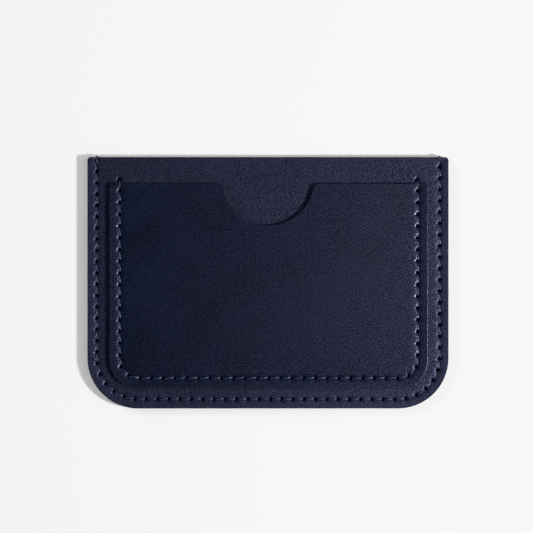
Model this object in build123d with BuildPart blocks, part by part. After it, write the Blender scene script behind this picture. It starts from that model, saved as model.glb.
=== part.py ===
from build123d import *
import math
import os

# A flat leather card holder, in millimetres.  It lies on its back: X runs across, +Y points out
# of the mouths of its two pockets and +Z points out of the front.  The origin is the middle of
# the back face, on the surface that the holder rests on.

# Leather body
body_width = 107.0
body_depth = 74.5
body_corner = 15.0
mouth_corner = 1.0
leather = 1.0
edge_round = 0.25

# Spacer strip and the cement films on both of its faces
welt_width = 5.2
welt_thickness = 0.6
cement_film = 0.1

# Front pocket
pocket_width = 94.2
pocket_depth = 60.6
pocket_drop = 7.9
pocket_corner = 8.5
pocket_mouth_corner = 0.5
pocket_cement_width = 3.9

# Thumb notch in the mouth of the front pocket
notch_radius = 13.2
notch_rise = 0.9
notch_shoulder = 1.8

# Seams: a saddle stitch through slanted slits, in a shallow crease
body_seam_inset = 2.7
body_seam_stitches = 70
pocket_seam_inset = 3.0
pocket_seam_stitches = 58
pocket_seam_start = 1.3
slit_length = 1.3
slit_width = 0.55
slit_slant = 50.0
crease_width = 1.1
rear_crease_width = 1.4
front_crease = 0.3
rear_crease = 0.5

# Waxed thread
thread = 0.45
thread_bend = 0.3
pass_offset = 0.36
wrap_standoff = 0.25
tail_gap = 0.9

# Heights of the layers
back_top = leather
welt_low = back_top + cement_film
welt_top = welt_low + welt_thickness
front_low = welt_top + cement_film
front_top = front_low + leather
pocket_low = front_top + cement_film
pocket_top = pocket_low + leather

# The thread stands proud of the mouth, so the leather sits a little lower in Y
wrap_proud = wrap_standoff + thread / 2
body_high = body_depth / 2 - wrap_proud / 2
body_low = body_high - body_depth
pocket_high = body_high - pocket_drop
pocket_base = pocket_high - pocket_depth


def tub(width, high, low, corner, mouth=0.0):
    """Flat outline of a panel: a straight mouth edge and two rounded lower corners."""
    with BuildSketch(mode=Mode.PRIVATE) as outline:
        with Locations((0, (high + low) / 2)):
            Rectangle(width, high - low)
        fillet(outline.vertices().group_by(Axis.Y)[0], radius=corner)
        if mouth > 0:
            fillet(outline.vertices().group_by(Axis.Y)[-1], radius=mouth)
    return outline.sketch


def border(width, high, low, corner, near, far, mouth=0.0):
    """U-shaped strip along a panel's edge, between two distances from that edge."""
    with BuildSketch(mode=Mode.PRIVATE) as strip:
        add(tub(width - 2 * near, high, low + near, corner - near, mouth))
        add(tub(width - 2 * far, high, low + far, max(corner - far, 0.5)), mode=Mode.SUBTRACT)
    return strip.sketch


def seam_line(width, high, low, corner, inset):
    """Line that a seam follows: down the left side, along the bottom and up the right side."""
    side = width / 2 - inset
    base = low + inset
    corners = [(-side, high), (-side, base), (side, base), (side, high)]
    with BuildLine(mode=Mode.PRIVATE) as route:
        FilletPolyline(*corners, radius=corner - inset)
    return route.line


def slit_places(line, stitches, first, last):
    """Places of the slits from number first to number last, each turned to its slant."""
    places = []
    for number in range(first, last + 1):
        where = line @ (number / stitches)
        along = line % (number / stitches)
        heading = math.degrees(math.atan2(along.Y, along.X))
        places.append(Location((where.X, where.Y), heading - slit_slant))
    return places


def slit_ends(line, stitches, number):
    """Inner and outer end of one slit, where the two passes of the thread go through."""
    where = line @ (number / stitches)
    along = line % (number / stitches)
    lean = along.rotate(Axis.Z, -slit_slant) * pass_offset
    return where - lean, where + lean


def raised(point, height):
    """The same point at another height."""
    return Vector(point.X, point.Y, height)


def thread_pass(line, stitches, last, starts_in_front, front, rear):
    """Corners of one of the two passes, from the first slit to the last one."""
    corners = []
    in_front = starts_in_front
    for number in range(1, last + 1):
        inner, outer = slit_ends(line, stitches, number)
        where = inner if in_front else outer
        near, away = (front, rear) if in_front else (rear, front)
        corners.append(raised(where, near))
        corners.append(raised(where, away))
        in_front = not in_front
    return corners


body_seam = seam_line(body_width, body_high, body_low, body_corner, body_seam_inset)
pocket_seam = seam_line(
    pocket_width,
    pocket_high + pocket_seam_start,
    pocket_base,
    pocket_corner,
    pocket_seam_inset,
)
body_slits = slit_places(body_seam, body_seam_stitches, 1, body_seam_stitches - 1)
pocket_slits = slit_places(pocket_seam, pocket_seam_stitches, 1, pocket_seam_stitches - 1)
anchor_slits = slit_places(pocket_seam, pocket_seam_stitches, 0, pocket_seam_stitches)
body_crease = border(
    body_width,
    body_high,
    body_low,
    body_corner,
    body_seam_inset - crease_width / 2,
    body_seam_inset + crease_width / 2,
)
pocket_crease = border(
    pocket_width,
    pocket_high,
    pocket_base,
    pocket_corner,
    pocket_seam_inset - crease_width / 2,
    pocket_seam_inset + crease_width / 2,
)

# Back panel: the whole back of the body, with the seam's rear passes sunk in its crease
with BuildPart() as back_panel:
    with BuildSketch(Plane.XY):
        add(tub(body_width, body_high, body_low, body_corner, mouth_corner))
    extrude(amount=leather)
    fillet(back_panel.faces().sort_by(Axis.Z)[0].edges(), radius=edge_round)
    with BuildSketch(Plane.XY):
        add(body_crease)
    extrude(amount=rear_crease, mode=Mode.SUBTRACT)
    with BuildSketch(Plane.XY):
        with Locations(*body_slits):
            SlotOverall(slit_length, slit_width)
    extrude(amount=leather, mode=Mode.SUBTRACT)

# Rear cement film: holds the spacer strip to the back panel
with BuildPart() as body_cement_rear:
    with BuildSketch(Plane.XY.offset(back_top)):
        add(border(body_width, body_high, body_low, body_corner, 0, welt_width, mouth_corner))
        with Locations(*body_slits):
            SlotOverall(slit_length, slit_width, mode=Mode.SUBTRACT)
    extrude(amount=cement_film)

# Spacer strip: keeps the two panels apart by the thickness of one card
with BuildPart() as body_welt:
    with BuildSketch(Plane.XY.offset(welt_low)):
        add(border(body_width, body_high, body_low, body_corner, 0, welt_width, mouth_corner))
        with Locations(*body_slits):
            SlotOverall(slit_length, slit_width, mode=Mode.SUBTRACT)
    extrude(amount=welt_thickness)

# Front cement film: holds the front panel to the spacer strip
with BuildPart() as body_cement_front:
    with BuildSketch(Plane.XY.offset(welt_top)):
        add(border(body_width, body_high, body_low, body_corner, 0, welt_width, mouth_corner))
        with Locations(*body_slits):
            SlotOverall(slit_length, slit_width, mode=Mode.SUBTRACT)
    extrude(amount=cement_film)

# Front panel: carries the pocket, whose seam has its rear passes in a crease on the underside
with BuildPart() as front_panel:
    with BuildSketch(Plane.XY.offset(front_low)):
        add(tub(body_width, body_high, body_low, body_corner, mouth_corner))
    extrude(amount=leather)
    fillet(front_panel.faces().sort_by(Axis.Z)[-1].edges(), radius=edge_round)
    with BuildSketch(Plane.XY.offset(front_top)):
        add(body_crease)
    extrude(amount=-front_crease, mode=Mode.SUBTRACT)
    with BuildSketch(Plane.XY.offset(front_low)):
        add(
            border(
                pocket_width,
                pocket_high + 2 * pocket_seam_start,
                pocket_base,
                pocket_corner,
                pocket_seam_inset - rear_crease_width / 2,
                pocket_seam_inset + rear_crease_width / 2,
            )
        )
    extrude(amount=rear_crease, mode=Mode.SUBTRACT)
    with BuildSketch(Plane.XY.offset(front_low)):
        with Locations(*body_slits, *anchor_slits):
            SlotOverall(slit_length, slit_width)
    extrude(amount=leather, mode=Mode.SUBTRACT)

# Pocket cement film: along three sides, outside the space that a card takes
with BuildPart() as pocket_cement:
    with BuildSketch(Plane.XY.offset(front_top)):
        add(
            border(
                pocket_width,
                pocket_high,
                pocket_base,
                pocket_corner,
                0,
                pocket_cement_width,
                pocket_mouth_corner,
            )
        )
        with Locations(*pocket_slits):
            SlotOverall(slit_length, slit_width, mode=Mode.SUBTRACT)
    extrude(amount=cement_film)

# Front pocket: a smaller panel with a thumb notch in its mouth
with BuildPart() as front_pocket:
    with BuildSketch(Plane.XY.offset(pocket_low)) as pocket_outline:
        add(tub(pocket_width, pocket_high, pocket_base, pocket_corner, pocket_mouth_corner))
        with Locations((0, pocket_high + notch_rise)):
            Circle(notch_radius, mode=Mode.SUBTRACT)
        notch_reach = math.sqrt(notch_radius**2 - notch_rise**2)
        shoulders = pocket_outline.vertices().filter_by(
            lambda corner: abs(abs(corner.X) - notch_reach) < 0.01
        )
        fillet(shoulders, radius=notch_shoulder)
    extrude(amount=leather)
    fillet(front_pocket.faces().sort_by(Axis.Z)[-1].edges(), radius=edge_round)
    with BuildSketch(Plane.XY.offset(pocket_top)):
        add(pocket_crease)
    extrude(amount=-front_crease, mode=Mode.SUBTRACT)
    with BuildSketch(Plane.XY.offset(pocket_low)):
        with Locations(*pocket_slits):
            SlotOverall(slit_length, slit_width)
    extrude(amount=leather, mode=Mode.SUBTRACT)

# Body thread: its middle is wrapped over the left end of the mouth and both of its halves are
# worked through every slit to the right end, where the ends are cut off on the back
body_front = front_top - front_crease + thread / 2
body_rear = rear_crease - thread / 2
last_slit = body_seam_stitches - 1
front_half = thread_pass(body_seam, body_seam_stitches, last_slit, True, body_front, body_rear)
rear_half = thread_pass(body_seam, body_seam_stitches, last_slit, False, body_front, body_rear)
wrap_y = body_high + wrap_standoff
left_x = (body_seam @ 0).X
right_x = (body_seam @ 1).X
body_route = [
    *reversed(front_half),
    Vector(left_x, wrap_y, body_front),
    Vector(left_x, wrap_y, body_rear),
    *rear_half,
    Vector(right_x, wrap_y, body_front),
    Vector(right_x, wrap_y, body_rear),
    Vector(right_x, wrap_y - tail_gap, body_rear),
]
with BuildPart() as body_seam_thread:
    with BuildLine() as body_run:
        FilletPolyline(*body_route, radius=thread_bend)
    with BuildSketch(Plane(origin=body_run.line @ 0, z_dir=body_run.line % 0)):
        Circle(thread / 2)
    sweep()

# Pocket thread: starts and ends in a slit of the front panel just outside the pocket's mouth
pocket_front = pocket_top - front_crease + thread / 2
pocket_rear = front_low + rear_crease - thread / 2
last_slit = pocket_seam_stitches - 1
front_half = thread_pass(
    pocket_seam, pocket_seam_stitches, last_slit, True, pocket_front, pocket_rear
)
rear_half = thread_pass(
    pocket_seam, pocket_seam_stitches, last_slit, False, pocket_front, pocket_rear
)
first_slit = pocket_seam @ 0
end_slit = pocket_seam @ 1
surface = front_top + thread / 2
edge_y = pocket_high + thread / 2
pocket_route = [
    *reversed(front_half),
    Vector(first_slit.X, edge_y, pocket_front),
    Vector(first_slit.X, first_slit.Y, surface),
    Vector(first_slit.X, first_slit.Y, pocket_rear),
    *rear_half,
    Vector(end_slit.X, edge_y, pocket_front),
    Vector(end_slit.X, end_slit.Y, surface),
    Vector(end_slit.X, end_slit.Y, pocket_rear),
]
with BuildPart() as pocket_seam_thread:
    with BuildLine() as pocket_run:
        FilletPolyline(*pocket_route, radius=thread_bend)
    with BuildSketch(Plane(origin=pocket_run.line @ 0, z_dir=pocket_run.line % 0)):
        Circle(thread / 2)
    sweep()

back_panel.part.label = "back_panel"
body_cement_rear.part.label = "body_cement_rear"
body_welt.part.label = "body_welt"
body_cement_front.part.label = "body_cement_front"
front_panel.part.label = "front_panel"
pocket_cement.part.label = "pocket_cement"
front_pocket.part.label = "front_pocket"
body_seam_thread.part.label = "body_seam_thread"
pocket_seam_thread.part.label = "pocket_seam_thread"

os.makedirs("parts", exist_ok=True)
export_step(back_panel.part, "parts/back_panel.step")
export_step(body_cement_rear.part, "parts/body_cement_rear.step")
export_step(body_welt.part, "parts/body_welt.step")
export_step(body_cement_front.part, "parts/body_cement_front.step")
export_step(front_panel.part, "parts/front_panel.step")
export_step(pocket_cement.part, "parts/pocket_cement.step")
export_step(front_pocket.part, "parts/front_pocket.step")
export_step(body_seam_thread.part, "parts/body_seam_thread.step")
export_step(pocket_seam_thread.part, "parts/pocket_seam_thread.step")
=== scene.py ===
"""A hand-stitched card holder in dark navy leather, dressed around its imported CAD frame.

Every length in the classes is in millimetres and every mesh is in metres, in the frame's axes: X runs
across the holder, +Y points out of its mouths and +Z points out of its front.
"""

import logging
import math
from collections.abc import Callable, Iterator
from contextlib import contextmanager
from dataclasses import dataclass, field
from enum import Enum
from functools import partial

import bpy
import numpy as np
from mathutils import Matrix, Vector


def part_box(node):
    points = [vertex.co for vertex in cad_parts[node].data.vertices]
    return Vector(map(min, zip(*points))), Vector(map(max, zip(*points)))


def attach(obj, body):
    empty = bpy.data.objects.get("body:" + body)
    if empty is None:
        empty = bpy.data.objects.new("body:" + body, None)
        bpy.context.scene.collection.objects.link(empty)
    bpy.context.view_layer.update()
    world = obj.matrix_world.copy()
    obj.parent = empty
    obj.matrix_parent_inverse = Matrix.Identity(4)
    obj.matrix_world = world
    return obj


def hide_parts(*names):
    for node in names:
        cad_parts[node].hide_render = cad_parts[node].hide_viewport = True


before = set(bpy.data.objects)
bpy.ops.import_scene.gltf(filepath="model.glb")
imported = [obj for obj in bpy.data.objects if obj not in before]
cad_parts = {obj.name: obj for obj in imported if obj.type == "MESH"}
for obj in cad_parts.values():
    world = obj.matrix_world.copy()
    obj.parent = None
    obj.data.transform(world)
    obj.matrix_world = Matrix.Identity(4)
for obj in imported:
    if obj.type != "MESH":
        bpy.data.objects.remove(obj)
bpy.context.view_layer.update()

MM = 0.001
BODY = "root"

# Tolerances in millimetres: what counts as no distance, as touching and as level
HAIR = 1e-6
TOUCH = 1e-3
LEVEL = 1e-4
TINY = 1e-9  # keeps a division or an angle away from zero

Finishes = dict[str, bpy.types.Material]
Route = list[tuple[float, ...]]
Outputs = bpy.types.bpy_prop_collection

log = logging.getLogger("card_holder")


class Face(Enum):
    """The side of a leather panel that shows."""

    FRONT = 1
    REAR = -1


class Element(Enum):
    """What an edit-mode selection is made of."""

    VERT = "VERT"
    EDGE = "EDGE"
    FACE = "FACE"


# --- Small tools ---


def linear(code: str) -> tuple[float, float, float, float]:
    """Turn an sRGB hex colour into linear light.

    Args:
        code: six hex digits, such as "1e2233".

    Returns:
        Linear red, green and blue, and an alpha of 1.
    """
    channels = [int(code[i:i + 2], 16) / 255 for i in (0, 2, 4)]
    red, green, blue = (c / 12.92 if c <= 0.04045 else ((c + 0.055) / 1.055) ** 2.4 for c in channels)
    return red, green, blue, 1.0


def add_node(
    tree: bpy.types.NodeTree,
    kind: str,
    settings: dict[str, object] | None = None,
    links: dict[str | int, bpy.types.NodeSocket] | None = None,
) -> Outputs:
    """Add one node with its settings and its incoming links.

    Args:
        tree: the node tree to add to.
        kind: the node's type name.
        settings: values by name, for the node's own properties or else for its inputs.
        links: outputs of other nodes, by the name or number of the input that each one feeds.

    Returns:
        The outputs of the new node.
    """
    node = tree.nodes.new(kind)
    for name, value in (settings or {}).items():
        if isinstance(name, str) and hasattr(node, name):
            setattr(node, name, value)
        else:
            node.inputs[name].default_value = value
    for name, output in (links or {}).items():
        tree.links.new(output, node.inputs[name])
    return node.outputs


def new_material(name: str) -> tuple[bpy.types.Material, Callable[..., Outputs]]:
    """Make an empty node material.

    Args:
        name: the material's name.

    Returns:
        The material, with no nodes in it, and a function that adds a node to it.
    """
    material = bpy.data.materials.new(name)
    material.use_nodes = True
    material.node_tree.nodes.clear()
    return material, partial(add_node, material.node_tree)


def deselect() -> None:
    """Deselect every object."""
    bpy.ops.object.select_all(action="DESELECT")


def take(piece: bpy.types.Object) -> None:
    """Make a piece the only selected object and the active one."""
    deselect()
    piece.select_set(True)
    bpy.context.view_layer.objects.active = piece


@contextmanager
def editing(piece: bpy.types.Object, element: Element) -> Iterator[None]:
    """Work on a piece in edit mode, and leave it in object mode again.

    Args:
        piece: the mesh object to edit.
        element: what the selection is made of.
    """
    take(piece)
    bpy.ops.object.mode_set(mode="EDIT")
    bpy.ops.mesh.select_mode(type=element.value)
    yield
    bpy.ops.object.mode_set(mode="OBJECT")


def points_of(piece: bpy.types.Object) -> np.ndarray:
    """Read a mesh's vertices, in millimetres, one row each."""
    flat = np.empty(len(piece.data.vertices) * 3)
    piece.data.vertices.foreach_get("co", flat)
    return flat.reshape(-1, 3) / MM


def move_points(piece: bpy.types.Object, points: np.ndarray) -> None:
    """Write a mesh's vertices back from rows in millimetres."""
    piece.data.vertices.foreach_set("co", (points * MM).ravel())
    piece.data.update()


def face_facts(piece: bpy.types.Object) -> tuple[np.ndarray, np.ndarray]:
    """Read where a mesh's faces are and which way they point.

    Args:
        piece: the mesh object, in object mode.

    Returns:
        The faces' centres in millimetres and their normals, one row each.
    """
    facts = []
    for name in ("center", "normal"):
        flat = np.empty(len(piece.data.polygons) * 3)
        piece.data.polygons.foreach_get(name, flat)
        facts.append(flat.reshape(-1, 3))
    return facts[0] / MM, facts[1]


def select_only(piece: bpy.types.Object, element: Element, wanted: np.ndarray) -> None:
    """Select chosen elements of a mesh and nothing else.

    Args:
        piece: the mesh object, in object mode.
        element: what is chosen from.
        wanted: which of them are wanted.
    """
    mesh = piece.data
    for kind, items in zip(Element, (mesh.vertices, mesh.edges, mesh.polygons)):
        items.foreach_set("select", wanted if kind is element else np.zeros(len(items), bool))


def store(piece: bpy.types.Object, name: str, values: np.ndarray) -> None:
    """Keep one number per vertex for a material to read."""
    layer = piece.data.attributes.new(name, "FLOAT", "POINT")
    layer.data.foreach_set("value", values.astype(np.float32))


def settle(piece: bpy.types.Object, node: str, shift: float, smooth: float) -> None:
    """Move a finished piece to its place, smooth it and put it in its CAD node's stead.

    Args:
        piece: the mesh object.
        node: the CAD node that it replaces.
        shift: how far it moves along X, in millimetres.
        smooth: the sharpest angle between faces that is smoothed, in degrees.
    """
    with editing(piece, Element.VERT):
        bpy.ops.mesh.select_all(action="SELECT")
        bpy.ops.transform.translate(value=(shift * MM, 0, 0))
    take(piece)
    bpy.ops.object.shade_smooth_by_angle(angle=math.radians(smooth))
    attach(piece, BODY)
    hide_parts(node)
    log.info("%s: %d faces", piece.name, len(piece.data.polygons))


def hump(distance: np.ndarray, reach: float, power: float = 2.0) -> np.ndarray:
    """A smooth hump of height 1: the higher the power, the flatter its top and the steeper its sides."""
    return np.exp(-np.abs(distance / reach) ** power)


def ease(share: np.ndarray) -> np.ndarray:
    """A smooth step from 0 to 1."""
    share = np.clip(share, 0.0, 1.0)
    return share * share * (3.0 - 2.0 * share)


def ruled(*stops: tuple[float, float]) -> np.ndarray:
    """Places of a grid's lines, finer in some stretches than in others.

    Args:
        stops: pairs of a place and the spacing from there to the next stop.

    Returns:
        The places, with a line on every stop.
    """
    lines = [stops[0][0]]
    for (start, spacing), (end, _) in zip(stops, stops[1:]):
        count = max(1, round((end - start) / spacing))
        lines += list(np.linspace(start, end, count + 1)[1:])
    return np.array(lines)


def round_corner(
    flat: np.ndarray, corner: tuple[float, float], radius: float, inward: tuple[int, int]
) -> None:
    """Bend the square corner of a grid into a round one, ring by ring.

    Args:
        flat: the grid's points as rows of x and y, changed in place.
        corner: where the two straight edges would meet.
        radius: the radius of the round corner.
        inward: the signs of x and y that lead from the corner into the sheet.
    """
    centre = np.array(corner) + np.array(inward) * radius
    out = (flat - centre) * -np.array(inward)
    inside = (out > HAIR).all(axis=1) & (out < radius + TOUCH).all(axis=1)
    along, across = out[inside].T
    ring = np.maximum(along, across)
    low = np.minimum(along, across) / ring * math.pi / 4
    turn = np.where(along >= across, low, math.pi / 2 - low)
    bent = np.stack([ring * np.cos(turn), ring * np.sin(turn)], axis=1)
    flat[inside] = centre - bent * np.array(inward)


# --- Finishes ---


@dataclass(frozen=True)
class GrainLeather:
    """Vegetable-tanned cowhide, drum-dyed navy and waxed: its grain side.

    It gives the eye a matt, almost black blue with a fine pebble, faint clouding from the dye and paler
    rubbed edges. The holes where the thread goes in are painted near-black and lose their shine: painted
    shade. The pebbles and pores are drawn about twice as coarse as real ones, which would not show.
    """

    name: str = "veg_tan_leather_open_grain"
    dye: str = "0e131e"
    cloud: str = "181d2a"
    rubbed: str = "1d2233"
    # painted shade: the near-black colour put into the stitch holes
    pit_shade: str = "010102"
    shine: str = "c8c8ff"
    roughness: float = 0.45
    gloss_spread: float = 0.05
    shine_level: float = 0.7
    speck_span: tuple[float, float] = (0.41, 0.59)
    speck_share: tuple[float, float] = (0.2, 1.8)
    cloud_span: tuple[float, float] = (0.65, 1.35)
    rub: float = 0.25
    pebble: float = 0.55
    pebble_height: float = 0.05
    pore: float = 0.36
    pore_height: float = 0.09
    clouding: float = 14.0

    def material(self) -> bpy.types.Material:
        """Build the node material."""
        material, add = new_material(self.name)
        where = add("ShaderNodeTexCoord")["Object"]
        worn, pit = (
            add("ShaderNodeAttribute", {"attribute_name": name})["Fac"]
            for name in ("worn", "pit")
        )
        pebbles = add(
            "ShaderNodeTexVoronoi",
            {"feature": "SMOOTH_F1", "Scale": 1 / (self.pebble * MM), "Smoothness": 0.6, "Randomness": 1.0},
            {"Vector": where},
        )["Distance"]
        pores, clouds = (
            add(
                "ShaderNodeTexNoise", {"Scale": 1 / (size * MM), "Detail": detail, "Roughness": 0.6},
                {"Vector": where},
            )["Fac"]
            for size, detail in ((self.pore, 2.0), (self.clouding, 4.0))
        )
        tone = add("ShaderNodeMath", {"operation": "ADD"}, {0: clouds, 1: pores})[0]
        low, high = self.cloud_span
        shade = add("ShaderNodeMapRange", {"From Min": low, "From Max": high}, {"Value": tone})[0]
        rub = add("ShaderNodeMath", {"operation": "MULTIPLY", 1: self.rub}, {0: worn})[0]
        colour = add(
            "ShaderNodeMix", {"data_type": "RGBA", 6: linear(self.dye), 7: linear(self.cloud)},
            {"Factor": shade},
        )[2]
        # The pit mask paints shade into the stitch holes in a near-black colour; the worn mask is real rubbed
        # wear
        for share, paint in ((rub, self.rubbed), (pit, self.pit_shade)):
            colour = add(
                "ShaderNodeMix", {"data_type": "RGBA", 7: linear(paint)}, {"Factor": share, 6: colour}
            )[2]
        rough, smooth = self.roughness + self.gloss_spread, self.roughness - self.gloss_spread
        gloss = add(
            "ShaderNodeMapRange", {"From Min": 0.3, "From Max": 0.7, "To Min": rough, "To Max": smooth},
            {"Value": pores},
        )[0]
        coarse = add(
            "ShaderNodeBump", {"Strength": 1.0, "Distance": self.pebble_height * MM}, {"Height": pebbles}
        )[0]
        fine = add(
            "ShaderNodeBump", {"Strength": 1.0, "Distance": self.pore_height * MM},
            {"Height": pores, "Normal": coarse},
        )[0]
        # The grain's hollows hold less wax, so that the shine breaks up into specks
        low, high = self.speck_span
        dull, bright = (share * self.shine_level for share in self.speck_share)
        specks = add(
            "ShaderNodeMapRange", {"From Min": low, "From Max": high, "To Min": dull, "To Max": bright},
            {"Value": pores},
        )[0]
        # The painted shade in the stitch holes also takes away their shine
        whole = add("ShaderNodeMath", {"operation": "SUBTRACT", 0: 1.0}, {1: pit})[0]
        level = add("ShaderNodeMath", {"operation": "MULTIPLY"}, {0: specks, 1: whole})[0]
        shader = add(
            "ShaderNodeBsdfPrincipled", {"IOR": 1.45, "Specular Tint": linear(self.shine)},
            {"Base Color": colour, "Roughness": gloss, "Specular IOR Level": level, "Normal": fine},
        )
        add("ShaderNodeOutputMaterial", links={"Surface": shader[0]})
        return material


@dataclass(frozen=True)
class MottledFinish:
    """A finish in which one fine pattern, of fibres or smears, sets both the colour and the relief."""

    name: str
    dark: str
    pale: str
    roughness: float
    pattern: float
    detail: float = 3.0
    contrast: float = 0.5
    distortion: float = 0.0
    stretch: tuple[float, float, float] = (1.0, 1.0, 1.0)
    relief: float = 0.0
    relief_strength: float = 0.0
    ior: float = 1.45
    shine_level: float = 0.5
    sheen: float = 0.0

    def material(self) -> bpy.types.Material:
        """Build the node material."""
        material, add = new_material(self.name)
        where = add("ShaderNodeTexCoord")["Object"]
        stretched = add("ShaderNodeMapping", {"Scale": self.stretch}, {"Vector": where})[0]
        marks = add(
            "ShaderNodeTexNoise",
            {
                "Scale": 1 / (self.pattern * MM), "Detail": self.detail,
                "Roughness": self.contrast, "Distortion": self.distortion,
            },
            {"Vector": stretched},
        )["Fac"]
        colour = add(
            "ShaderNodeMix", {"data_type": "RGBA", 6: linear(self.dark), 7: linear(self.pale)},
            {"Factor": marks},
        )[2]
        links = {"Base Color": colour}
        if self.relief:
            links["Normal"] = add(
                "ShaderNodeBump", {"Strength": self.relief_strength, "Distance": self.relief * MM},
                {"Height": marks},
            )[0]
        shader = add(
            "ShaderNodeBsdfPrincipled",
            {
                "IOR": self.ior, "Roughness": self.roughness,
                "Specular IOR Level": self.shine_level, "Sheen Weight": self.sheen,
            },
            links,
        )
        add("ShaderNodeOutputMaterial", links={"Surface": shader[0]})
        return material


@dataclass(frozen=True)
class FleshLeather(MottledFinish):
    """The flesh side of the same cowhide, split and left raw under the dye.

    It gives the eye a soft, greyer nap without any shine, which shows only inside the mouths.
    """

    name: str = "veg_tan_leather_flesh"
    dark: str = "2c3040"
    pale: str = "3d4150"
    roughness: float = 0.95
    pattern: float = 0.4
    detail: float = 5.0
    contrast: float = 0.7
    distortion: float = 1.5
    relief: float = 0.12
    relief_strength: float = 0.8
    sheen: float = 0.25


@dataclass(frozen=True)
class BurnishedEdge(MottledFinish):
    """The cut edge of the leather, dyed, waxed and rubbed smooth with a wooden slicker.

    It gives the eye a darker, slightly glossy band with a fine lengthwise streak from the fibres.
    """

    name: str = "burnished_leather_edge"
    dark: str = "07090f"
    pale: str = "10131b"
    roughness: float = 0.34
    pattern: float = 0.16
    contrast: float = 0.6
    stretch: tuple[float, float, float] = (0.12, 0.12, 1.0)
    relief: float = 0.06
    relief_strength: float = 0.35
    shine_level: float = 0.8


@dataclass(frozen=True)
class ContactCement(MottledFinish):
    """Dried neoprene contact cement, squeezed to a film and dyed over at the edge.

    It gives the eye a dull, nearly black hairline between two layers of leather.
    """

    name: str = "contact_cement_film"
    dark: str = "15161b"
    pale: str = "24242a"
    roughness: float = 0.6
    pattern: float = 1.5
    ior: float = 1.5


@dataclass(frozen=True)
class WaxedThread:
    """Waxed linen thread of two twisted plies, dyed navy.

    It gives the eye a slightly paler and bluer line than the leather, with a satin shine from the wax
    and a slanting stripe from the twist, whose dark grooves between the plies are painted shade. Where
    the thread sinks into the slits it is painted dark and loses its shine: painted shade.
    """

    name: str = "waxed_linen_thread"
    ply: str = "22315a"
    # painted shade in the grooves between the plies
    ply_groove_shade: str = "0c1122"
    # painted shade: the near-black colour of the thread where it sinks into the slits
    hidden: str = "020305"
    plies: int = 2
    roughness: float = 0.3
    shine_level: float = 0.9
    relief: float = 0.06

    def material(self) -> bpy.types.Material:
        """Build the node material."""
        material, add = new_material(self.name)
        wound = add("ShaderNodeUVMap", {"uv_map": "wound"})[0]
        # The map runs round the thread in U and along it in V, in turns of the twist
        parts = add("ShaderNodeSeparateXYZ", links={"Vector": wound})
        turned = add("ShaderNodeMath", {"operation": "ADD"}, {0: parts["X"], 1: parts["Y"]})[0]
        angle = add("ShaderNodeMath", {"operation": "MULTIPLY", 1: self.plies * 2 * math.pi}, {0: turned})[0]
        wave = add("ShaderNodeMath", {"operation": "SINE"}, {0: angle})[0]
        stripes = add("ShaderNodeMapRange", {"From Min": -1.0, "From Max": 0.6}, {"Value": wave})[0]
        # The dark stripes are painted shade in the grooves between the plies
        colour = add(
            "ShaderNodeMix", {"data_type": "RGBA", 6: linear(self.ply_groove_shade), 7: linear(self.ply)},
            {"Factor": stripes},
        )[2]
        # Where the thread sinks into a slit it gets painted shade: a near-black colour, with its shine taken
        # away
        sunk = add("ShaderNodeAttribute", {"attribute_name": "sunk"})["Fac"]
        shaded = add(
            "ShaderNodeMix", {"data_type": "RGBA", 7: linear(self.hidden)}, {"Factor": sunk, 6: colour}
        )[2]
        level = add("ShaderNodeMapRange", {"To Min": self.shine_level, "To Max": 0.0}, {"Value": sunk})[0]
        raised = add(
            "ShaderNodeBump", {"Strength": 0.6, "Distance": self.relief * MM}, {"Height": stripes}
        )[0]
        shader = add(
            "ShaderNodeBsdfPrincipled", {"IOR": 1.5, "Roughness": self.roughness},
            {"Base Color": shaded, "Specular IOR Level": level, "Normal": raised},
        )
        add("ShaderNodeOutputMaterial", links={"Surface": shader[0]})
        return material


@dataclass(frozen=True)
class MattPaper:
    """Uncoated white paper: the plain pale floor, which gives the eye an even, matt near-white."""

    name: str = "matt_white_paper"
    sheet: str = "f6f5f5"
    roughness: float = 0.9

    def material(self) -> bpy.types.Material:
        """Build the node material."""
        material, add = new_material(self.name)
        shader = add(
            "ShaderNodeBsdfPrincipled",
            {"Base Color": linear(self.sheet), "Roughness": self.roughness, "Specular IOR Level": 0.1},
        )
        add("ShaderNodeOutputMaterial", links={"Surface": shader[0]})
        return material


# --- Seams ---


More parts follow.
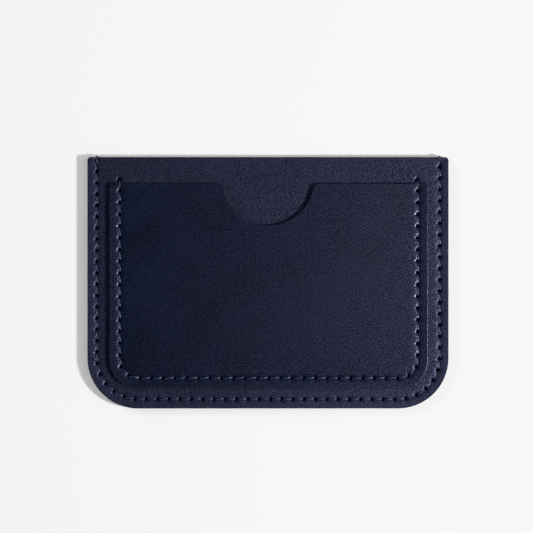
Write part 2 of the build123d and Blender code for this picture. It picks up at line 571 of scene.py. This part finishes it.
@dataclass
class Seam:
    """A saddle-stitched line: down the left side, round along the bottom and up the right side.

    The thread goes through slanted slits one pitch apart. Each stitch in front starts at the outer end
    of one slit and ends at the inner end of the next.
    """

    half: float
    mouth: float
    base: float
    radius: float
    stitches: int
    start_shift: float = 0.0
    end_shift: float = 0.0
    slant: float = math.radians(50.0)
    pass_offset: float = 0.36

    @property
    def side(self) -> float:
        """Length of one straight side."""
        return self.mouth - self.base - self.radius

    @property
    def arc(self) -> float:
        """Length of one round corner."""
        return self.radius * math.pi / 2

    @property
    def bottom(self) -> float:
        """Length of the straight bottom."""
        return 2 * (self.half - self.radius)

    @property
    def length(self) -> float:
        """Length of the whole seam."""
        return 2 * self.side + 2 * self.arc + self.bottom

    @property
    def pitch(self) -> float:
        """Distance from one slit to the next, along the seam."""
        return (self.length + self.end_shift - self.start_shift) / self.stitches

    def run_of(self, number: float | np.ndarray) -> float | np.ndarray:
        """How far along the seam a slit lies."""
        return self.start_shift + number * self.pitch

    def number_at(self, run: np.ndarray) -> np.ndarray:
        """The number, with its fraction, that a slit would have at each distance along the seam."""
        return (run - self.start_shift) / self.pitch

    def at(self, run: float) -> tuple[np.ndarray, np.ndarray]:
        """Find a place on the seam.

        Args:
            run: distance from the seam's start.

        Returns:
            The place and the seam's direction there, as x and y.
        """
        if run > self.length / 2:
            place, heading = self.at(self.length - run)
            return place * np.array([-1, 1]), heading * np.array([1, -1])
        if run <= self.side:
            return np.array([-self.half, self.mouth - run]), np.array([0.0, -1.0])
        run -= self.side
        if run <= self.arc:
            turn = run / self.radius
            centre = np.array([self.radius - self.half, self.base + self.radius])
            place = centre + self.radius * np.array([-math.cos(turn), -math.sin(turn)])
            return place, np.array([math.sin(turn), -math.cos(turn)])
        run -= self.arc
        return np.array([self.radius - self.half + run, self.base]), np.array([1.0, 0.0])

    def locate(self, flat: np.ndarray) -> tuple[np.ndarray, np.ndarray]:
        """Find how far along the seam and how far outside it each point lies.

        Args:
            flat: rows of x and y.

        Returns:
            Distances along the seam, and distances from it, which are positive outside it.
        """
        x, y = flat.T
        wide = np.abs(x) - (self.half - self.radius)
        deep = self.base + self.radius - y
        corner = (wide > 0) & (deep > 0)
        out = np.where(corner, np.hypot(wide, deep), np.maximum(wide, deep)) - self.radius
        turn = np.arctan2(np.maximum(deep, 0), np.maximum(wide, TINY))
        round_run = self.side + self.radius * turn
        side_run = self.mouth - y
        base_run = self.side + self.arc - wide
        run = np.where(corner, round_run, np.where(wide > deep, side_run, base_run))
        return np.where(x > 0, self.length - run, run), out

    def slit_ends(self, number: float) -> tuple[np.ndarray, np.ndarray]:
        """Find the two ends of a slit, where the two passes of the thread go through.

        Args:
            number: the slit's number along the seam.

        Returns:
            The inner and the outer end, as x and y.
        """
        place, heading = self.at(self.run_of(number))
        cosine, sine = math.cos(-self.slant), math.sin(-self.slant)
        lean = np.array([
            heading[0] * cosine - heading[1] * sine,
            heading[0] * sine + heading[1] * cosine,
        ]) * self.pass_offset
        return place - lean, place + lean

    def around_slits(self, flat: np.ndarray, first: int, last: int) -> tuple[np.ndarray, np.ndarray]:
        """Measure each point from the nearest slit.

        Args:
            flat: rows of x and y.
            first: number of the first slit.
            last: number of the last slit.

        Returns:
            Distances along the slit and across it.
        """
        run, out = self.locate(flat)
        number = np.clip(np.round(self.number_at(run)), first, last)
        ahead = run - self.run_of(number)
        along = ahead * math.cos(self.slant) + out * math.sin(self.slant)
        across = -ahead * math.sin(self.slant) + out * math.cos(self.slant)
        return along, across


@dataclass
class SeamRelief:
    """How a tight seam shapes the leather.

    It pulls a wide valley, from which the rim outside flares up again, with a crease under each stitch
    and a dimple and a pit round each slit. It runs out a share of a stitch past the last slits.
    """

    valley: float = 0.03
    valley_reach: float = 1.4
    flare: float = 0.06
    crease: float = 0.12
    crease_reach: float = 0.34
    dimple: float = 0.16
    dimple_reach: float = 0.75
    pit: float = 0.5
    pit_length: float = 0.48
    pit_width: float = 0.42
    pit_steepness: float = 3.0
    overrun: float = 0.6

    def lift(self, seam: Seam, flat: np.ndarray, first: int, last: int) -> tuple[np.ndarray, np.ndarray]:
        """Work out the relief of a seam.

        Args:
            seam: the seam.
            flat: rows of x and y.
            first: number of the first slit.
            last: number of the last slit.

        Returns:
            The change of height at each point, negative downwards, and how deep it lies in a pit.
        """
        run, out = seam.locate(flat)
        start, end = seam.run_of(first - self.overrun), seam.run_of(last + self.overrun)
        within = ease(run - start) * ease(end - run)
        sway = seam.pass_offset * math.sin(seam.slant)
        line = sway * (1 - 2 * np.mod(seam.number_at(run), 1.0))
        valley = np.where(out < 0, self.valley * hump(out, self.valley_reach), self.valley - self.flare * out)
        groove = valley + self.crease * hump(out - line, self.crease_reach)
        along, across = seam.around_slits(flat, first, last)
        dimple = self.dimple * hump(np.hypot(along, across), self.dimple_reach)
        steep = self.pit_steepness
        pit = hump(along, self.pit_length, steep) * hump(across, self.pit_width, steep)
        return -within * groove - dimple - self.pit * pit, pit


# --- Leather panels ---


@dataclass
class Panel:
    """One cut leather panel with two round lower corners, built over the box of its CAD node."""

    node: str
    slot: str
    corner: float
    mouth_corner: float
    shows: Face
    grain: str
    seams: list[tuple[Seam, SeamRelief, int, int]] = field(default_factory=list)
    step: float = 0.34
    rim_step: float = 0.24
    rim_reach: float = 4.6
    edge_round: float = 0.14
    worn_reach: float = 0.5
    thinnest: float = 0.15
    # How deep in a stitch hole the painted shade starts, and over how much it blends in
    pit_shade_start: float = 0.15
    pit_shade_blend: float = 0.4
    flesh_below: float = -0.6
    edge_below: float = 0.93
    shift: float = 0.0

    def __post_init__(self) -> None:
        """Read the panel's box from the frame, in millimetres."""
        low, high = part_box(self.node)
        self.low = np.array(low) / MM
        self.high = np.array(high) / MM

    @property
    def thickness(self) -> float:
        """Thickness of the leather."""
        return self.high[2] - self.low[2]

    @property
    def half(self) -> float:
        """Half the panel's width."""
        return (self.high[0] - self.low[0]) / 2

    def columns(self) -> np.ndarray:
        """Places of the grid's lines across the panel."""
        inner = self.half - self.rim_reach
        return ruled(
            (-self.half, self.rim_step), (-inner, self.step), (inner, self.rim_step), (self.half, 0)
        )

    def rows(self) -> np.ndarray:
        """Places of the grid's lines from the bottom to the mouth."""
        return ruled(
            (self.low[1], self.rim_step), (self.low[1] + self.rim_reach, self.step), (self.high[1], 0)
        )

    def outline(self, flat: np.ndarray) -> None:
        """Bend the grid's square corners round, in place."""
        for side in (-1, 1):
            round_corner(flat, (side * self.half, self.low[1]), self.corner, (-side, 1))
            round_corner(flat, (side * self.half, self.high[1]), self.mouth_corner, (-side, -1))

    def cut_out(self, sheet: bpy.types.Object) -> None:
        """Cut away what the panel's outline leaves out: nothing on a plain panel."""

    def blank(self) -> bpy.types.Object:
        """Lay out the flat sheet as a grid with the panel's outline."""
        columns, rows = self.columns(), self.rows()
        deselect()
        bpy.ops.mesh.primitive_grid_add(
            x_subdivisions=len(columns) - 1, y_subdivisions=len(rows) - 1, size=1.0, location=(0, 0, 0)
        )
        sheet = bpy.context.object
        points = points_of(sheet) * MM + 0.5
        spread = np.empty_like(points)
        spread[:, 0] = np.interp(points[:, 0] * (len(columns) - 1), np.arange(len(columns)), columns)
        spread[:, 1] = np.interp(points[:, 1] * (len(rows) - 1), np.arange(len(rows)), rows)
        spread[:, 2] = self.low[2] if self.shows is Face.FRONT else self.high[2]
        move_points(sheet, spread)
        self.cut_out(sheet)
        points = points_of(sheet)
        flat = points[:, :2].copy()
        self.outline(flat)
        points[:, :2] = flat
        move_points(sheet, points)
        return sheet

    def thicken(self, sheet: bpy.types.Object) -> None:
        """Give the sheet its thickness, a round outer rim and one plain face on its hidden side."""
        rise = self.thickness * self.shows.value * MM
        with editing(sheet, Element.FACE):
            bpy.ops.mesh.select_all(action="SELECT")
            bpy.ops.mesh.extrude_region_move(TRANSFORM_OT_translate={"value": (0, 0, rise)})
            bpy.ops.mesh.select_all(action="SELECT")
            bpy.ops.mesh.normals_make_consistent(inside=False)
        hidden = -self.shows.value
        _, normals = face_facts(sheet)
        select_only(sheet, Element.FACE, normals[:, 2] * hidden > 0.9)
        with editing(sheet, Element.FACE):
            bpy.ops.mesh.dissolve_faces()
        self.round_rim(sheet)

    def round_rim(self, sheet: bpy.types.Object) -> None:
        """Round the rim of the side that shows."""
        level = self.high[2] if self.shows is Face.FRONT else self.low[2]
        points = points_of(sheet)
        pairs = np.empty(len(sheet.data.edges) * 2, int)
        sheet.data.edges.foreach_get("vertices", pairs)
        pairs = pairs.reshape(-1, 2)
        walls = np.zeros(len(points), bool)
        for face in sheet.data.polygons:
            if abs(face.normal.z) < 0.5:
                walls[list(face.vertices)] = True
        rim = walls & (np.abs(points[:, 2] - level) < LEVEL)
        steps = points[pairs[:, 0]] - points[pairs[:, 1]]
        chosen = rim[pairs].all(axis=1) & (np.linalg.norm(steps, axis=1) < 2 * self.step)
        select_only(sheet, Element.EDGE, chosen)
        with editing(sheet, Element.EDGE):
            bpy.ops.mesh.bevel(offset=self.edge_round * MM, segments=3, affect="EDGES")

    def rise(self, flat: np.ndarray) -> np.ndarray:
        """How far the whole thickness of the panel rises from flat at each point: not at all."""
        return np.zeros(len(flat))

    def edge_distance(self, flat: np.ndarray) -> np.ndarray:
        """Distance of each point from the panel's outline, positive inside it."""
        rim = Seam(self.half, self.high[1], self.low[1], self.corner, 1)
        _, out = rim.locate(flat)
        return np.minimum(-out, self.high[1] - flat[:, 1])

    def shape(self, sheet: bpy.types.Object) -> None:
        """Press the seams into the side that shows, mark where shade is painted into the stitch holes and
        where the edges are worn, and bend the whole panel.
        """
        points = points_of(sheet)
        flat = points[:, :2]
        if self.shows is Face.FRONT:
            share = (points[:, 2] - self.low[2]) / self.thickness
        else:
            share = (self.high[2] - points[:, 2]) / self.thickness
        relief, pit = np.zeros(len(points)), np.zeros(len(points))
        for seam, press, first, last in self.seams:
            pressed, dented = press.lift(seam, flat, first, last)
            relief += pressed
            pit = np.maximum(pit, dented)
        relief = np.maximum(relief, (self.thinnest - 1) * self.thickness)
        # The pit mask is where the material paints shade into the stitch holes; the worn mask is rubbed wear
        # along the edges
        store(sheet, "pit", ease((pit - self.pit_shade_start) / self.pit_shade_blend) * (share > 0.5))
        store(sheet, "worn", hump(self.edge_distance(flat), self.worn_reach) * (share > 0.5))
        points[:, 2] += relief * ease(share) * self.shows.value + self.rise(flat)
        move_points(sheet, points)

    def dress(self, sheet: bpy.types.Object, finishes: Finishes) -> None:
        """Give each side of the panel its finish: grain outside, edge all round, flesh inside."""
        for name in (self.grain, "edge", "flesh"):
            sheet.data.materials.append(finishes[name])
        centres, normals = face_facts(sheet)
        up = normals[:, 2] * self.shows.value
        at_rim = self.edge_distance(centres[:, :2]) < self.edge_round
        kind = np.where(up < self.flesh_below, 2, np.where((up < self.edge_below) & at_rim, 1, 0))
        sheet.data.polygons.foreach_set("material_index", kind.astype(np.int32))

    def build(self, finishes: Finishes) -> bpy.types.Object:
        """Build, dress and place the panel.

        Args:
            finishes: the materials by their short names.

        Returns:
            The finished piece.
        """
        sheet = self.blank()
        sheet.name = f"{self.node}_leather"
        self.thicken(sheet)
        self.shape(sheet)
        self.dress(sheet, finishes)
        settle(sheet, self.node, self.shift, smooth=50)
        return sheet


@dataclass
class Pocket(Panel):
    """The front pocket: a smaller panel with a round thumb notch, and a mouth that stands off a little."""

    notch_radius: float = 13.2
    notch_rise: float = 0.9
    notch_shoulder: float = 1.8
    notch_spread: float = 22.0
    dome: float = 0.12
    dome_margin: float = 0.5
    dome_base: float = 0.25
    dome_fade: float = 6.0

    @property
    def reach(self) -> float:
        """Half the notch's width at the mouth's edge."""
        return math.sqrt(self.notch_radius**2 - self.notch_rise**2)

    def columns(self) -> np.ndarray:
        """Places of the grid's lines across the panel, with a line at each side of the notch."""
        inner = self.half - self.rim_reach
        return ruled(
            (-self.half, self.rim_step),
            (-inner, self.step),
            (-self.reach, self.step * 1.5),
            (self.reach, self.step),
            (inner, self.rim_step),
            (self.half, 0),
        )

    def rows(self) -> np.ndarray:
        """Places of the grid's lines from the bottom to the mouth, with a line under the notch."""
        return ruled(
            (self.low[1], self.rim_step),
            (self.low[1] + self.rim_reach, self.step),
            (self.high[1] - self.reach, self.step),
            (self.high[1], 0),
        )

    def cut_out(self, sheet: bpy.types.Object) -> None:
        """Cut the square out of the grid that becomes the notch."""
        centres, _ = face_facts(sheet)
        inside = (np.abs(centres[:, 0]) < self.reach) & (centres[:, 1] > self.high[1] - self.reach)
        select_only(sheet, Element.FACE, inside)
        with editing(sheet, Element.FACE):
            bpy.ops.mesh.delete(type="FACE")

    def outline(self, flat: np.ndarray) -> None:
        """Bend the corners, the notch's shoulders and the notch itself round, in place."""
        super().outline(flat)
        for side in (-1, 1):
            round_corner(flat, (side * self.reach, self.high[1]), self.notch_shoulder, (side, -1))
        wide = np.abs(flat[:, 0])
        deep = self.high[1] - flat[:, 1]
        ring = np.maximum(wide, deep)
        near = ring < self.notch_spread
        slope = np.minimum(wide, deep) / np.maximum(ring, TINY)
        turn = np.where(wide >= deep, slope, 2 - slope) / 2
        start = math.asin(self.notch_rise / self.notch_radius)
        angle = start + turn * (math.pi / 2 - start)
        size = ring / self.reach
        arc_x = size * self.notch_radius * np.cos(angle)
        arc_y = size * (self.notch_radius * np.sin(angle) - self.notch_rise)
        share = ease((ring - self.reach) / (self.notch_spread - self.reach))
        side = np.sign(flat[:, 0])
        flat[near, 0] = (side * (arc_x + (wide - arc_x) * share))[near]
        flat[near, 1] = (self.high[1] - (arc_y + (deep - arc_y) * share))[near]

    def rise(self, flat: np.ndarray) -> np.ndarray:
        """How far the panel stands off: most in the middle of its mouth, nothing at its seam."""
        seam = self.seams[0][0]
        across = 1 - (flat[:, 0] / (seam.half - self.dome_margin)) ** 2
        along = (flat[:, 1] - seam.base) / (self.high[1] - seam.base)
        climb = ease(self.dome_base + (1 - self.dome_base) * along) * ease(along * self.dome_fade)
        return self.dome * ease(across) * climb * (along > 0)

    def edge_distance(self, flat: np.ndarray) -> np.ndarray:
        """Distance of each point from the panel's outline and its notch, positive inside."""
        centre = np.array([0, self.high[1] + self.notch_rise])
        from_notch = np.linalg.norm(flat - centre, axis=1) - self.notch_radius
        return np.minimum(super().edge_distance(flat), from_notch)


# --- Thread ---


@dataclass
class Thread:
    """One waxed thread that is saddle stitched through a whole seam."""

    node: str
    seam: Seam
    front: float
    rear: float
    shift: float = 0.0
    diameter: float = 0.42
    arch: float = 0.05
    shoulder: float = 0.2
    sink: float = 0.5
    sides: int = 8
    twist: float = 1.1
    merge: float = 0.001
    sunk_shade_from: float = 0.05
    sunk_shade_blend: float = 0.18

    def stitch(self, start: np.ndarray, end: np.ndarray, in_front: bool) -> Route:
        """Lay one stitch on the leather, slightly arched.

        Args:
            start: x and y where it comes out of a slit.
            end: x and y where it goes into the next one.
            in_front: whether it lies on the front or on the rear.

        Returns:
            Points of the thread's line.
        """
        level = self.front if in_front else self.rear
        side = 1 if in_front else -1
        points = []
        for share in (self.shoulder, 0.4, 0.6, 1 - self.shoulder):
            flat = start + (end - start) * share
            lift = 0.0 if share in (self.shoulder, 1 - self.shoulder) else self.arch
            points.append((flat[0], flat[1], level + side * lift))
        return points

    def through(self, place: np.ndarray, going_down: bool) -> Route:
        """Take the thread through one slit."""
        heights = [self.front - self.sink, self.rear + self.sink]
        if not going_down:
            heights.reverse()
        return [(place[0], place[1], height) for height in heights]

    def half_route(self, in_front: bool) -> Route:
        """Follow one of the two passes from the first slit to the last.

        Args:
            in_front: whether the pass comes to the first slit on the front.

        Returns:
            Points of the thread's line.
        """
        points = []
        leaving = None
        for number in range(1, self.seam.stitches):
            inner, outer = self.seam.slit_ends(number)
            place = inner if in_front else outer
            if leaving is not None:
                points += self.stitch(leaving, place, in_front)
            points += self.through(place, in_front)
            leaving = place
            in_front = not in_front
        return points

    def over(self, side: int) -> Route:
        """Take the thread over the edge at the left end of the seam (-1) or at the right end (1)."""
        raise NotImplementedError

    def tail(self) -> Route:
        """Lead the thread on past its last turn: not at all."""
        return []

    def route(self) -> Route:
        """Follow the whole thread, back along one pass and forth along the other."""
        back = reversed(self.half_route(True))
        return [*back, *self.over(-1), *self.half_route(False), *self.over(1), *self.tail()]

    def build(self, finishes: Finishes) -> bpy.types.Object:
        """Build, dress and place the thread.

        Args:
            finishes: the materials by their short names.

        Returns:
            The finished piece.
        """
        route = self.route()
        deselect()
        bpy.ops.curve.primitive_nurbs_path_add(location=(0, 0, 0))
        path = bpy.context.object
        path.name = f"{self.node}_linen"
        spline = path.data.splines[0]
        spline.points.add(len(route) - len(spline.points))
        for point, place in zip(spline.points, route):
            point.co = (*(c * MM for c in place), 1.0)
        spline.order_u = 3
        spline.use_endpoint_u = True
        path.data.resolution_u = 2
        path.data.bevel_depth = self.diameter / 2 * MM
        path.data.bevel_resolution = self.sides // 4
        path.data.use_fill_caps = True
        take(path)
        bpy.ops.object.convert(target="MESH")
        tube = bpy.context.object
        self.wind(tube)
        with editing(tube, Element.VERT):
            bpy.ops.mesh.select_all(action="SELECT")
            bpy.ops.mesh.remove_doubles(threshold=self.merge * MM)
        tube.data.materials.clear()
        tube.data.materials.append(finishes["thread"])
        settle(tube, self.node, self.shift, smooth=60)
        return tube

    def wind(self, tube: bpy.types.Object) -> None:
        """Map the thread's surface: round it in U, and along it in V in turns of the twist."""
        mesh = tube.data
        points = points_of(tube)
        caps = 2 * self.sides
        centres = points[caps:].reshape(-1, self.sides, 3).mean(axis=1)
        steps = np.linalg.norm(np.diff(centres, axis=0), axis=1)
        turns = np.concatenate([[0.0], np.cumsum(steps)]) / self.twist
        corners = np.empty(len(mesh.loops), int)
        mesh.loops.foreach_get("vertex_index", corners)
        of_tube = corners >= caps
        ring = np.where(of_tube, (corners - caps) // self.sides, 0)
        spoke = np.where(of_tube, (corners - caps) % self.sides, 0)
        face_size = np.empty(len(mesh.polygons), int)
        mesh.polygons.foreach_get("loop_total", face_size)
        face = np.repeat(np.arange(len(face_size)), face_size)
        meets_last = np.zeros(len(face_size), bool)
        np.logical_or.at(meets_last, face, spoke == self.sides - 1)
        spoke = np.where(meets_last[face] & (spoke == 0), self.sides, spoke)
        wound = mesh.uv_layers[0]
        wound.name = "wound"
        wound.data.foreach_set("uv", np.stack([spoke / self.sides, turns[ring]], axis=1).ravel())
        # The sunk mask marks where the thread dips below the leather's surface, for painted shade there
        surface = self.front - self.diameter / 2
        depth = np.minimum(surface - points[:, 2], points[:, 2] - self.rear - self.diameter / 2)
        outside = points[:, 1] > self.seam.mouth
        store(tube, "sunk", ease((depth + self.sunk_shade_from) / self.sunk_shade_blend) * ~outside)


@dataclass
class BodyThread(Thread):
    """The thread of the body's seam, wrapped over the edge of the mouth at both of its ends."""

    standoff: float = 0.38
    tail_length: float = 0.9
    lead: float = 0.35
    slack: float = 0.02

    def over(self, side: int) -> Route:
        """Take the thread over the edge of the mouth, from the front to the rear."""
        x = side * self.seam.half
        edge = self.seam.mouth
        return [
            (x, edge - self.lead, self.front + 2 * self.slack),
            (x, edge + self.standoff, self.front + self.slack),
            (x, edge + self.standoff, self.rear - self.slack),
            (x, edge - self.lead, self.rear),
        ]

    def tail(self) -> Route:
        """Lead the cut end a little way down the rear."""
        return [(self.seam.half, self.seam.mouth - self.tail_length, self.rear)]


@dataclass
class PocketThread(Thread):
    """The thread of the pocket's seam, which starts and ends in a slit just above the pocket's mouth."""

    pocket_mouth: float = 0.0
    surface: float = 0.0

    def over(self, side: int) -> Route:
        """Take the thread from the top of the pocket over its edge, and down through the front panel."""
        x = side * self.seam.half
        return [
            (x, self.pocket_mouth - 0.3, self.front + 0.05),
            (x, self.pocket_mouth + self.diameter * 0.4, self.front - 0.05),
            (x, self.seam.mouth - 0.25, self.surface + self.diameter / 2),
            (x, self.seam.mouth, self.surface - self.sink),
            (x, self.seam.mouth, self.rear),
        ]


# --- The holder and its studio ---


@dataclass
class CardHolder:
    """The whole holder: a body of two panels on a spacer strip, with a pocket stitched on its front."""

    body_corner: float = 15.0
    body_mouth_corner: float = 1.0
    body_inset: float = 2.7
    body_stitches: int = 70
    pocket_corner: float = 8.5
    pocket_mouth_corner: float = 0.5
    pocket_inset: float = 3.0
    pocket_stitches: int = 58
    pocket_start: float = 1.3
    body_shifts: tuple[float, float] = (0.9, 0.45)
    pocket_shift: float = 0.2
    front_crease: float = 0.38
    rear_crease: float = 0.5
    thread: float = 0.45

    def finishes(self) -> Finishes:
        """Make every material of the holder, by its short name."""
        return {
            "open grain": GrainLeather().material(),
            "smooth grain": GrainLeather(
                name="veg_tan_leather_smooth_grain",
                dye="080e1a",
                cloud="101727",
                shine="d6d1ff",
                roughness=0.3,
                shine_level=0.85,
                pebble_height=0.01,
                pore_height=0.055,
            ).material(),
            "flesh": FleshLeather().material(),
            "edge": BurnishedEdge().material(),
            "thread": WaxedThread().material(),
            "cement": ContactCement().material(),
        }

    def seam_in(
        self, node: str, inset: float, corner: float, stitches: int, start: float,
        shifts: tuple[float, float] = (0.0, 0.0),
    ) -> Seam:
        """Lay out a seam inside a panel.

        Args:
            node: the CAD node of the panel that the seam runs round.
            inset: distance of the seam from the panel's edge.
            corner: radius of the panel's lower corners.
            stitches: number of stitches.
            start: how far above the panel's mouth the seam starts and ends.
            shifts: how far the slits at the seam's start and at its end lie beyond their even places.

        Returns:
            The seam.
        """
        low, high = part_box(node)
        return Seam(
            half=(high.x - low.x) / 2 / MM - inset,
            mouth=high.y / MM + start,
            base=low.y / MM + inset,
            radius=corner - inset,
            stitches=stitches,
            start_shift=shifts[0],
            end_shift=shifts[1],
        )

    def build(self) -> list[bpy.types.Object]:
        """Build every piece of the holder and return them."""
        finishes = self.finishes()
        body_seam = self.seam_in(
            "front_panel", self.body_inset, self.body_corner, self.body_stitches, 0.0, self.body_shifts
        )
        pocket_seam = self.seam_in(
            "front_pocket", self.pocket_inset, self.pocket_corner, self.pocket_stitches, self.pocket_start
        )
        pressed = SeamRelief()
        sunk = SeamRelief(valley=0.1, flare=0.037, crease=0.4, dimple=0.1, pit=0.25)
        hole_only = SeamRelief(valley=0.0, flare=0.0, crease=0.0)
        last_body, last_pocket = self.body_stitches - 1, self.pocket_stitches - 1
        back = Panel(
            "back_panel", "body_leather", self.body_corner, self.body_mouth_corner, Face.REAR,
            "open grain", [(body_seam, sunk, 1, last_body)],
        )
        front = Panel(
            "front_panel", "body_leather", self.body_corner, self.body_mouth_corner, Face.FRONT,
            "open grain",
            [
                (body_seam, pressed, 0, last_body),
                (pocket_seam, hole_only, 0, 0),
                (pocket_seam, hole_only, self.pocket_stitches, self.pocket_stitches),
            ],
        )
        pocket = Pocket(
            "front_pocket", "pocket_leather", self.pocket_corner, self.pocket_mouth_corner, Face.FRONT,
            "smooth grain", [(pocket_seam, pressed, 1, last_pocket)], shift=self.pocket_shift,
        )
        half_thread = self.thread / 2
        body_thread = BodyThread(
            "body_seam_thread",
            body_seam,
            front=front.high[2] - self.front_crease + half_thread,
            rear=self.rear_crease - half_thread,
        )
        pocket_thread = PocketThread(
            "pocket_seam_thread",
            pocket_seam,
            front=pocket.high[2] - self.front_crease + half_thread,
            rear=front.low[2] + self.rear_crease - half_thread,
            pocket_mouth=pocket.high[1],
            surface=front.high[2],
            shift=self.pocket_shift,
        )
        pieces = [part.build(finishes) for part in (back, front, pocket, body_thread, pocket_thread)]
        self.dress_frame(finishes)
        return pieces

    def dress_frame(self, finishes: Finishes) -> None:
        """Give the CAD nodes that stay in sight their finishes."""
        dressed = {
            "body_welt": "edge",
            "body_cement_rear": "cement",
            "body_cement_front": "cement",
            "pocket_cement": "cement",
        }
        for node, finish in dressed.items():
            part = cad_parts[node]
            part.data.materials.clear()
            part.data.materials.append(finishes[finish])
            log.info("%s: dressed in %s", node, finishes[finish].name)


@dataclass(frozen=True)
class Softbox:
    """A square soft light aimed at the holder.

    Azimuth is counted from +X towards +Y, and elevation from the floor, both in degrees. A polarised
    light is filtered so that it lifts the shadows without a shine on the leather.
    """

    name: str
    azimuth: float
    elevation: float
    distance: float
    size: float
    power: float
    polarised: bool = False

    def place(self) -> None:
        """Put up the light."""
        turn, tilt = math.radians(self.azimuth), math.radians(self.elevation)
        direction = Vector((math.cos(turn) * math.cos(tilt), math.sin(turn) * math.cos(tilt), math.sin(tilt)))
        bpy.ops.object.light_add(type="AREA", location=direction * self.distance)
        lamp = bpy.context.object
        lamp.name = self.name
        lamp.rotation_euler = direction.to_track_quat("Z", "Y").to_euler()
        lamp.data.size = self.size
        lamp.data.energy = self.power
        lamp.visible_glossy = not self.polarised


@dataclass(frozen=True)
class FilmCurve:
    """How the picture is developed: deep blacks, and a shoulder that holds white paper just below white.

    The points pair light in the scene with the light on the print.
    """

    black: float = 0.003
    white: float = 1.6
    points: tuple[tuple[float, float], ...] = (
        (0.55, 0.55), (0.8, 0.77), (1.0, 0.88), (1.25, 0.93), (1.6, 0.945),
    )

    def develop(self, scene: bpy.types.Scene) -> None:
        """Apply the curve to everything that the scene renders."""
        view = scene.view_settings
        view.view_transform = "Standard"
        view.use_curve_mapping = True
        mapping = view.curve_mapping
        mapping.black_level = (self.black,) * 3
        mapping.white_level = (self.white,) * 3
        curve = mapping.curves[3]
        curve.points[1].location = (1.0, self.points[-1][1])
        for light, shown in self.points[:-1]:
            curve.points.new(light / self.white, shown)
        for point in curve.points:
            point.handle_type = "VECTOR"
        mapping.update()


@dataclass
class Studio:
    """A sheet of white paper under soft light, with a camera straight above."""

    view_width: float = 158.6
    camera_height: float = 620.0
    aim: tuple[float, float] = (-0.45, 4.58)
    sensor: float = 36.0
    wall_glow: float = 0.36
    ceiling_glow: float = 0.03
    wall_top: float = 0.35
    ceiling_edge: float = 0.75
    film: FilmCurve = FilmCurve()
    boxes: tuple[Softbox, ...] = (
        Softbox("key_softbox", -13.0, 41.0, 0.65, 0.085, 5.2),
        Softbox("gloss_softbox", 0.0, 68.0, 0.8, 0.34, 0.52),
        Softbox("fill_softbox", 150.0, 35.0, 1.2, 0.6, 9.9, polarised=True),
    )

    def floor(self) -> None:
        """Lay the paper that the holder rests on."""
        deselect()
        bpy.ops.mesh.primitive_plane_add(size=4.0, location=(0, 0, 0))
        paper = bpy.context.object
        paper.name = "paper_floor"
        paper.data.materials.append(MattPaper().material())

    def world(self) -> None:
        """Surround the table with pale walls under a dark ceiling."""
        world = bpy.data.worlds.new("soft_room")
        world.use_nodes = True
        world.node_tree.nodes.clear()
        add = partial(add_node, world.node_tree)
        where = add("ShaderNodeTexCoord")["Generated"]
        height = add("ShaderNodeSeparateXYZ", links={"Vector": where})["Z"]
        glow = add(
            "ShaderNodeMapRange",
            {
                "interpolation_type": "SMOOTHSTEP", "From Min": self.wall_top, "From Max": self.ceiling_edge,
                "To Min": self.wall_glow, "To Max": self.ceiling_glow,
            },
            {"Value": height},
        )[0]
        light = add("ShaderNodeBackground", links={"Strength": glow})
        add("ShaderNodeOutputWorld", links={"Surface": light[0]})
        bpy.context.scene.world = world

    def camera(self) -> None:
        """Put the camera straight above the holder."""
        x, y = (c * MM for c in self.aim)
        bpy.ops.object.camera_add(location=(x, y, self.camera_height * MM), rotation=(0, 0, 0))
        camera = bpy.context.object
        camera.name = "camera"
        camera.data.sensor_width = self.sensor
        camera.data.lens = self.sensor * self.camera_height / self.view_width
        camera.data.clip_start = 0.01
        bpy.context.scene.camera = camera

    def build(self) -> None:
        """Set up the floor, the lights and the camera."""
        self.floor()
        self.world()
        for box in self.boxes:
            box.place()
        self.camera()
        self.film.develop(bpy.context.scene)
        log.info("studio: %d lights", len(self.boxes))


def main() -> None:
    """Build the holder and its studio."""
    logging.basicConfig(level=logging.INFO, format="%(name)s: %(message)s")
    Studio().build()
    pieces = CardHolder().build()
    log.info("%d pieces built", len(pieces))


if __name__ == "__main__":
    main()
